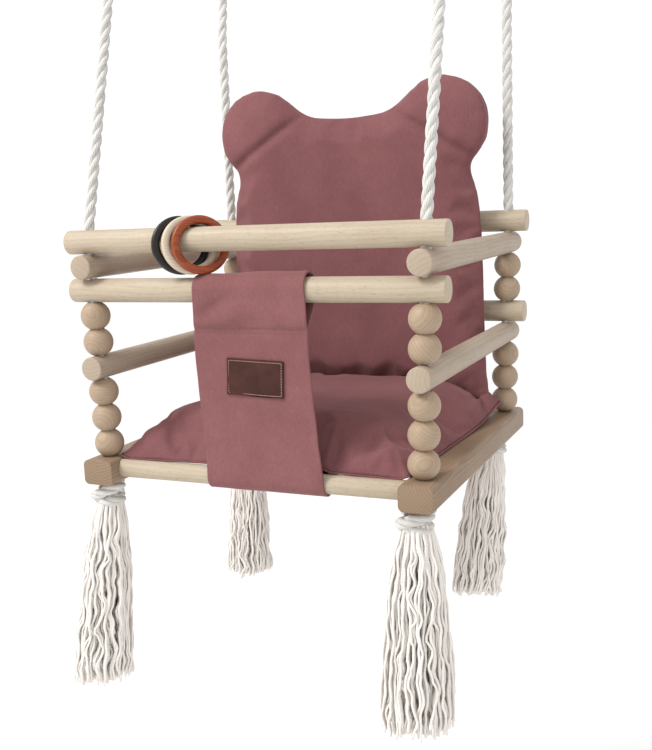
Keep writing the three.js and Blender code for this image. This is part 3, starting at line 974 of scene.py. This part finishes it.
# ---- Flap, its stitching and its patch ------------------------------------------------------
FLAP_THICK, FLAP_EASE = 2.5, 0.5
FLAP_TOP = (-62, 76)
FLAP_BOTTOM = (-56, 88)
FLAP_STITCH = 160
FLAP_TUCK_Z = -1.6
FLAP_TUCK = (-136, -116)
SLEEVE_R = BAR_D / 2 + FLAP_EASE + FLAP_THICK / 2
TURN_R = ROD_D / 2 + FLAP_EASE + FLAP_THICK / 2


def arc_points(cy, cz, radius, low, high, steps):
    angles = [math.radians(low + (high - low) * i / steps) for i in range(steps + 1)]
    return [(cy + radius * math.cos(a), cz + radius * math.sin(a)) for a in angles]


def touch(cy, cz, radius, point, side):
    """The angle at which a line from the point touches the circle."""
    y, z = point[0] - cy, point[1] - cz
    return math.degrees(math.atan2(z, y) + side * math.acos(radius / math.hypot(y, z)))


def flap_route():
    sleeve = (-COLUMN_Y, FRONT_SECOND_Z, SLEEVE_R)
    turn = (ROD_Y[0], ROD_Z, TURN_R)
    behind = (-COLUMN_Y - SLEEVE_R + FLAP_THICK + 0.3, FLAP_STITCH)
    under = (FLAP_TUCK[0], FLAP_TUCK_Z)
    route = [behind]
    route += arc_points(*sleeve, touch(*sleeve, behind, 1), 180, 30)
    route += arc_points(*turn, 180, 360 + touch(*turn, under, -1), 20)
    route += [under, (FLAP_TUCK[1], FLAP_TUCK_Z)]
    return equal_steps([Vector((0, y, z)) for y, z in route], 3.0)


def flap_edges(z):
    share = z / FRONT_SECOND_Z
    left = FLAP_BOTTOM[0] + (FLAP_TOP[0] - FLAP_BOTTOM[0]) * share
    right = FLAP_BOTTOM[1] + (FLAP_TOP[1] - FLAP_BOTTOM[1]) * share
    left += 1.6 * math.sin(z * 0.035 + 0.6)
    right += 1.4 * math.sin(z * 0.028 + 2.0)
    return left, right


def flap_fold(x, z):
    """How far the hanging cloth stands out from flat, between the two bars."""
    free = clamped((z - 4) / 30) * clamped((214 - z) / 26)
    sag = 0.9 * noise.noise((x * 0.018, z * 0.012, 4.0))
    sag += 0.5 * noise.noise((x * 0.04, z * 0.03, 9.0))
    above = math.exp(-((z - 172 - 0.22 * (x + 20)) / 11) ** 2) * math.exp(-((x + 14) / 26) ** 2)
    second = math.exp(-((z - 176 + 0.3 * (x - 30)) / 9) ** 2) * math.exp(-((x - 34) / 22) ** 2)
    pinch = math.exp(-((z - 157.5) / 4.2) ** 2)
    low = math.exp(-((z - 182 - 0.5 * (x + 36)) / 7) ** 2) * math.exp(-((x + 34) / 20) ** 2)
    return free * (2.2 * sag + 4.4 * above + 3.2 * second - 2.6 * low - 1.8 * pinch)


def flap_front_y(x, z):
    """The hanging cloth's outer face."""
    share = clamped(z / FRONT_SECOND_Z)
    middle = -COLUMN_Y - SLEEVE_R + (1 - share) * (ROD_Y[0] - TURN_R + COLUMN_Y + SLEEVE_R)
    return middle - flap_fold(x, z) - FLAP_THICK / 2


def make_flap():
    route = flap_route()
    columns = 58
    shape = bmesh.new()
    rows = []
    for i, point in enumerate(route):
        forward = direction(route, i)
        out = Vector((0, -forward.z, forward.y)).normalized() * -1
        row = []
        for k in range(columns + 1):
            left, right = flap_edges(point.z)
            x = left + (right - left) * k / columns
            front = out.y < -0.9 and point.y < -COLUMN_Y - 5
            lift = (flap_fold(x, point.z) if front
                    else 0.25 * noise.noise((x * 0.03, i * 0.08, 2.0)))
            loose = clamped((point.z - FRONT_SECOND_Z) / SLEEVE_R) ** 1.3
            across = (x - left) / (right - left)
            lift += loose * (1.4 + 2.6 * across + 0.6 * math.sin(x * 0.07)
                             - 1.6 * max(0, 1 - 9 * across))
            spot = point + out * lift
            row.append(shape.verts.new(mm(x, spot.y, spot.z)))
        rows.append(row)
    fill_rows(shape, rows)
    bmesh.ops.recalc_face_normals(shape, faces=shape.faces)
    mesh = finish_mesh("front_flap", shape, SEAT, 60)
    flap = add_piece("front_flap_cloth", mesh, "seat", FLAP_CLOTH, "flap_cloth", "front_flap")
    add_modifier(flap, "thick", "SOLIDIFY", thickness=FLAP_THICK * MM, offset=0)
    add_modifier(flap, "rim", "BEVEL", width=0.8 * MM, segments=2, limit_method="ANGLE",
                 angle_limit=math.radians(60))
    stitching = [stitch_row(f"flap_stitch_{n}", z, 2.6) for n, z in ((1, 160.5), (2, 154.5))]


def stitch_row(name, z, pitch):
    """Short stitches of thread along the flap at one height, sunk a little into the cloth."""
    left, right = flap_edges(z)
    lines = []
    x = left + 2
    while x + pitch < right - 2:
        spots = []
        for share, rise in ((0.08, -0.35), (0.3, 0.15), (0.5, 0.28), (0.7, 0.15), (0.92, -0.35)):
            at = x + pitch * share
            spots.append(mm(at, flap_front_y(at, z) - rise, z + 0.2 * math.sin(at * 0.3)))
        lines.append(spots)
        x += pitch
    mesh = tubes(name, lines, [0.38 * MM] * len(lines), 6)
    mesh.transform(SEAT)
    return add_piece(name, mesh, "seat", FLAP_THREAD, "flap_cloth")


PATCH_X, PATCH_Z = 14, 105
PATCH_WIDTH, PATCH_HEIGHT, PATCH_THICK = 70, 41, 1.6


def make_patch():
    """A leather patch that lies on the flap's own curve, stitched near its edge."""
    shape = bevelled_box((PATCH_WIDTH, PATCH_HEIGHT, PATCH_THICK), 1.0, 0.45)
    cuts = [e for e in shape.edges if e.calc_length() > 20 * MM]
    bmesh.ops.subdivide_edges(shape, edges=cuts, cuts=24, use_grid_fill=True)
    for vertex in shape.verts:
        x, z, out = vertex.co.x / MM, vertex.co.y / MM, vertex.co.z / MM
        slant = 0.035 * x
        world_x, world_z = PATCH_X + x + 0.05 * z, PATCH_Z + z - slant
        curl = 0.35 * (abs(x) / 35) ** 6
        base = flap_front_y(world_x, world_z) - PATCH_THICK / 2 - 0.2
        vertex.co = mm(world_x, base - out - curl, world_z)
    bmesh.ops.recalc_face_normals(shape, faces=shape.faces)
    mesh = finish_mesh("patch", shape, SEAT, 40)
    add_piece("leather_patch_face", mesh, "seat", PATCH_LEATHER, "patch_leather", "leather_patch")
    half_w, half_h = PATCH_WIDTH / 2 - 2.4, PATCH_HEIGHT / 2 - 2.4
    corners = [(-half_w, -half_h), (half_w, -half_h), (half_w, half_h), (-half_w, half_h)]
    lines = []
    for (x0, z0), (x1, z1) in closed_pairs(corners):
        count = round(math.hypot(x1 - x0, z1 - z0) / 2.9)
        for i in range(count):
            spots = []
            for share, rise in ((0.14, -0.2), (0.32, 0.3), (0.62, 0.3), (0.8, -0.2)):
                t = (i + share) / count
                x, z = x0 + (x1 - x0) * t, z0 + (z1 - z0) * t
                at_x, at_z = PATCH_X + x + 0.05 * z, PATCH_Z + z - 0.035 * x
                y = flap_front_y(at_x, at_z) - PATCH_THICK - 0.2 - rise
                spots.append(mm(at_x, y, at_z))
            lines.append(spots)
    mesh = tubes("patch_stitches", lines, [0.4 * MM] * len(lines), 6)
    mesh.transform(SEAT)
    add_piece("leather_patch_stitches", mesh, "seat", PATCH_THREAD, "patch_leather")


make_flap()
make_patch()


# ---- Cushions -------------------------------------------------------------------------------
SEAT_PAD_FRONT, SEAT_PAD_BACK = -178, 150
SEAT_PAD_HALF = ((-178, 183), (-140, 189), (60, 200), (150, 201))
SEAT_PAD_RISE = 41
BACK_FRONT, BACK_THICK = 120, 36
EAR_X, EAR_Z, EAR_R = 134, 388, 63
EAR_LINE = ((61, 410), (176, 338))  # the groove between an ear and the back
BACK_PAD = [(145, 29), (172, 17), (194, 9), (189, 62), (187, 240), (183, 295)]
BACK_PAD += [(EAR_X + EAR_R * math.cos(math.radians(a)), EAR_Z + EAR_R * math.sin(math.radians(a)))
             for a in range(-57, 143, 8)]
BACK_PAD += [(62, 411), (30, 407), (0, 405)]


def whole_outline(right):
    return right + [(-x, y) for x, y in reversed(right) if x > 0]


def softened(outline, rounds):
    """The outline with its corners cut again and again, so that they are round."""
    for _ in range(rounds):
        finer = []
        for (ax, ay), (bx, by) in closed_pairs(outline):
            finer += [(0.75 * ax + 0.25 * bx, 0.75 * ay + 0.25 * by),
                      (0.25 * ax + 0.75 * bx, 0.25 * ay + 0.75 * by)]
        outline = finer
    return outline


def edge_distance(x, y, outline):
    """Distance in from the outline, negative outside it."""
    nearest, inside = 1e9, False
    for (ax, ay), (bx, by) in closed_pairs(outline):
        dx, dy = bx - ax, by - ay
        t = clamped(((x - ax) * dx + (y - ay) * dy) / (dx * dx + dy * dy))
        nearest = min(nearest, math.hypot(x - ax - t * dx, y - ay - t * dy))
        if (ay > y) != (by > y) and x < ax + (y - ay) * dx / dy:
            inside = not inside
    return nearest if inside else -nearest


def pad_mesh(outline, low, high, shrink):
    """A closed slab of the outline, remeshed evenly, with rounded edges."""
    shape = bmesh.new()
    spots = [shape.verts.new(mm(x * shrink, y * shrink, low)) for x, y in outline]
    face = shape.faces.new(spots)
    lifted = bmesh.ops.extrude_face_region(shape, geom=[face])
    top = [v for v in lifted["geom"] if isinstance(v, bmesh.types.BMVert)]
    bmesh.ops.translate(shape, vec=mm(0, 0, high - low), verts=top)
    bmesh.ops.recalc_face_normals(shape, faces=shape.faces)
    pad = new_object("pad", plain_mesh("pad", shape))
    add_modifier(pad, "even", "REMESH", mode="VOXEL", voxel_size=5.5 * MM)
    add_modifier(pad, "ease", "SMOOTH", factor=0.5, iterations=12)
    return baked_mesh(pad)


CLOTH_FRAMES = 20
CLOTH_SETTINGS = {
    "quality": 5, "mass": 0.25, "tension_stiffness": 14, "compression_stiffness": 14,
    "shear_stiffness": 4, "bending_stiffness": 0.35, "use_pressure": True,
    "vertex_group_mass": "seam",
}


def puffed(mesh, pinned, pressure, cap, slack):
    """The pad blown up as cloth between its pinned seams. No point moves further than the cap."""
    rest = [v.co.copy() for v in mesh.vertices]
    pad = new_object("puffed", mesh)
    group = pad.vertex_groups.new(name="seam")
    for vertex in mesh.vertices:
        hold = pinned(vertex)
        if hold > 0:
            group.add([vertex.index], hold, "REPLACE")
    cloth_sim = pad.modifiers.new("cloth", "CLOTH")
    settings = cloth_sim.settings
    for label, value in {**CLOTH_SETTINGS, "shrink_min": -slack,
                         "uniform_pressure_force": pressure}.items():
        setattr(settings, label, value)
    settings.effector_weights.gravity = 0
    cloth_sim.collision_settings.use_self_collision = False
    scene = bpy.context.scene
    cloth_sim.point_cache.frame_start = 1
    cloth_sim.point_cache.frame_end = CLOTH_FRAMES
    for frame_number in range(1, CLOTH_FRAMES + 1):
        scene.frame_set(frame_number)
    depsgraph = bpy.context.evaluated_depsgraph_get()
    moved = [v.co.copy() for v in pad.evaluated_get(depsgraph).data.vertices]
    pad.modifiers.remove(cloth_sim)
    bpy.data.objects.remove(pad, do_unlink=True)
    scene.frame_set(1)
    for vertex, before, after in zip(mesh.vertices, rest, moved):
        step = after - before
        if step.length > cap:
            step *= cap / step.length
        vertex.co = before + step
    return mesh


def add_pad(name, node, mesh):
    mesh.transform(SEAT)
    mesh.polygons.foreach_set("use_smooth", [True] * len(mesh.polygons))
    pad = add_piece(name, mesh, "seat", CUSHION_CLOTH, "cushion_cloth", node)
    add_modifier(pad, "finer", "SUBSURF", levels=1, render_levels=1)


def wrinkle(x, y, seed, size):
    return noise.noise((x * size, y * size, seed))


def seat_pad_half(y):
    return along_table(SEAT_PAD_HALF, y)


def over_beams(x):
    return clamped((abs(x) - 173) / 9)


def seat_pad_floor(x, y):
    """What the pillow lies on: the rods, the beams beside them and the flap's tucked end."""
    tucked = clamped(min(x + 59, 91 - x, -100 - y) / 5)
    sag = 0 if y < -172 else 0.5 - 0.5 * math.cos((y + 178) * math.pi / 44.5)
    between = 1 - over_beams(x)
    return -3.1 + 4.1 * over_beams(x) + 2.9 * tucked - 1.2 * sag * between * (1 - tucked)


def seat_pad_seam(x, y):
    """The seam's height: near what the pillow lies on, and lifting at the back."""
    corner = clamped((abs(x) - 130) / 50)
    return seat_pad_floor(x, y) + 0.8 + (9 + 7 * corner) * max(0, y / 150) ** 2


def make_seat_cushion():
    """A pillow: a top and a bottom sheet that meet on one seam, blown up and puckered along it."""
    columns, rows = ((88, 74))
    shape = bmesh.new()
    sheets = []
    for top in (True, False):
        sheet = []
        for j in range(rows + 1):
            v = 2 * j / rows - 1
            row = []
            for i in range(columns + 1):
                u = 2 * i / columns - 1
                y = (SEAT_PAD_FRONT + SEAT_PAD_BACK) / 2 + v * (SEAT_PAD_BACK - SEAT_PAD_FRONT) / 2
                y += (1 - u * u) * (1.5 if v < 0 else -2) * abs(v)
                x = u * (seat_pad_half(y) - 6 * (1 - v * v))
                on_seam = i in (0, columns) or j in (0, rows)
                inner = min((1 - abs(u)) * 190, (y - SEAT_PAD_FRONT), (SEAT_PAD_BACK - y) * 2.4)
                rise = 1 - (1 - min(1, max(0, inner) / 88)) ** 2.5
                base = seat_pad_seam(x, y)
                floor = seat_pad_floor(x, y)
                squeezed = 0.55 * clamped((y - 104) / 22) * (1 - over_beams(x))
                crown = (SEAT_PAD_RISE + 6) * rise * (1 - squeezed)
                z = base + crown if top else floor + (base - floor) * (1 - rise) ** 3
                if on_seam and not top:
                    row.append(sheets[0][j][i])
                else:
                    row.append(shape.verts.new(mm(x, y, z)))
            sheet.append(row)
        sheets.append(sheet)
        fill_rows(shape, sheet, flip=not top)
    shape.verts.index_update()
    seam = {vertex.index for j, row in enumerate(sheets[0]) for i, vertex in enumerate(row)
            if i in (0, columns) or j in (0, rows)}
    flat = {v.index for row in sheets[1] for v in row} - seam

    def hold(vertex):
        return 1.0 if vertex.index in seam else 0.6 if vertex.index in flat else 0.0

    mesh = puffed(plain_mesh("seat_pad", shape), hold, pressure=2.6, cap=9 * MM, slack=0.07)
    for vertex in mesh.vertices:
        x, y, z = vertex.co / MM
        if vertex.index in seam:
            continue
        inner = min(SEAT_PAD_BACK - y, y - SEAT_PAD_FRONT, seat_pad_half(y) - abs(x))
        edge = math.exp(-((inner - 22) / 20) ** 2)
        corner = math.exp(-(math.hypot(abs(x) - 168, y + 150) / 60) ** 2)
        if vertex.index not in flat:
            z += edge * 3.2 * wrinkle(x, y, 5.0, 0.045) + 1.6 * wrinkle(x, y, 8.0, 0.014)
            z += corner * 3.4 * wrinkle(x + y, x - y, 2.0, 0.03)
        z -= clamped((y - 108) / 14) * max(0, z - 29) * (1 - over_beams(x))
        vertex.co = mm(x, min(y, 153), max(z, seat_pad_floor(x, y)))
    add_pad("seat_cushion_pad", "seat_cushion", mesh)
    border = [(i, 0) for i in range(columns + 1)] + [(columns, j) for j in range(1, rows + 1)]
    border += [(i, rows) for i in range(columns - 1, -1, -1)]
    border += [(0, j) for j in range(rows - 1, 0, -1)]
    welt = [mesh.vertices[j * (columns + 1) + i].co.copy() for i, j in border]
    seam_line = tubes("seat_cushion_seam", [equal_steps(welt, 3 * MM)], [1.15 * MM], 8)
    add_piece("seat_cushion_seam", seam_line, "seat", CUSHION_CLOTH, "cushion_cloth")


def make_back_cushion():
    outline = softened(whole_outline(BACK_PAD), 1)
    middle = BACK_FRONT + BACK_THICK / 2
    half = BACK_THICK / 2 - 5
    centre_z = 230
    lowered = [(x, z - centre_z) for x, z in outline]
    mesh = pad_mesh(lowered, -half, half, 0.975)

    def seam(vertex):
        inner = edge_distance(vertex.co.x / MM, vertex.co.y / MM, lowered)
        return 1.0 if inner < 8.5 and abs(vertex.co.z) < 3.5 * MM else 0.0

    mesh = puffed(mesh, seam, pressure=3.2, cap=8 * MM, slack=0.03)
    (ax, az), (bx, bz) = EAR_LINE
    dx, dz = bx - ax, bz - az
    reach = math.hypot(dx, dz)
    for vertex in mesh.vertices:
        x, z, y = vertex.co / MM
        z += centre_z
        off = ((abs(x) - ax) * -dz + (z - az) * dx) / reach
        along = ((abs(x) - ax) * dx + (z - az) * dz) / reach / reach
        on_line = clamped((along + 0.04) * 12) * clamped((1.05 - along) * 12)
        groove = on_line * math.exp(-(off / 3.4) ** 2)
        puff = on_line * math.exp(-((abs(off) - 13) / 9) ** 2)
        y *= 1 - 0.36 * groove + 0.05 * puff
        inner = max(0.0, edge_distance(x, z, outline))
        edge = max(0.0, 1 - inner / 40)
        y += math.copysign(1, y) * (0.9 * edge * wrinkle(x, z, 3.0, 0.05)
                                    + 1.2 * wrinkle(x, z, 6.0, 0.016) * (1 - edge))
        y = max(-BACK_THICK / 2 - 6, min(BACK_THICK / 2 - 0.5, -y))
        vertex.co = mm(x, middle + y, z)
    mesh.flip_normals()
    add_pad("back_cushion_pad", "back_cushion", mesh)


make_seat_cushion()
make_back_cushion()


# ---- Ties that hold the back cushion to its bar ---------------------------------------------
TIE_X, TIE_WIDTH, TIE_THICK = 110, 25, 1.8


def make_ties():
    back = BACK_FRONT + BACK_THICK + 1
    radius = BAR_D / 2 + 0.9 + TIE_THICK / 2
    for side, sx in SIDES:
        centre = (COLUMN_Y, TOP_BAR_Z)
        lead = [(back, TOP_BAR_Z + 21), (back + 2.5, TOP_BAR_Z + 17)]
        loop = arc_points(*centre, radius, 128, -128, 40)
        tail = [(back + 2.5, TOP_BAR_Z - 17), (back, TOP_BAR_Z - 21)]
        route = equal_steps([Vector((0, y, z)) for y, z in lead + loop + tail], 1.6)
        shape = bmesh.new()
        across = [sx * TIE_X + TIE_WIDTH * (k / 8 - 0.5) for k in range(9)]
        fill_rows(shape, [[shape.verts.new(mm(x, point.y, point.z)) for x in across]
                          for point in route])
        bmesh.ops.recalc_face_normals(shape, faces=shape.faces)
        mesh = finish_mesh("tie", shape, SEAT, 60)
        name = f"{side}_tie_loop"
        tie = add_piece(f"{name}_cloth", mesh, "seat", CUSHION_CLOTH, "cushion_cloth", name)
        add_modifier(tie, "thick", "SOLIDIFY", thickness=TIE_THICK * MM, offset=0)


make_ties()


# ---- Floor, light and background ------------------------------------------------------------
def area_light(name, place, towards, size, power, colour=(1, 1, 1)):
    lamp = bpy.data.lights.new(name, "AREA")
    lamp.shape = "DISK"
    lamp.size = size
    lamp.energy = power
    lamp.color = colour
    holder = new_object(name, lamp)
    holder.location = place
    aim = Vector(towards) - Vector(place)
    holder.rotation_euler = aim.to_track_quat("-Z", "Y").to_euler()


def make_studio():
    shape = bmesh.new()
    bmesh.ops.create_grid(shape, x_segments=1, y_segments=1, size=30)
    floor_mesh = finish_mesh("floor", shape, Matrix.Translation((0, 0, -1.45)))
    material, graph, shader = new_material("floor_pale", 0.9)
    tone = graph.noise(graph.place(), 0.4, 1.0)
    graph.feed(shader.inputs["Base Color"], graph.mix(tone, (0.95,) * 3, (0.93,) * 3))
    floor_mesh.materials.append(material)
    floor = new_object("floor", floor_mesh)
    world = bpy.data.worlds.new("studio")
    world.use_nodes = True
    sky = world.node_tree.nodes["Background"]
    sky.inputs["Color"].default_value = (1, 1, 1, 1)
    sky.inputs["Strength"].default_value = 1.06
    bpy.context.scene.world = world
    area_light("key", (-1.5, -1.9, 1.5), (0, 0, -0.65), 1.2, 82, (1.0, 0.99, 0.97))


make_studio()
bpy.context.scene.view_settings.view_transform = "Standard"
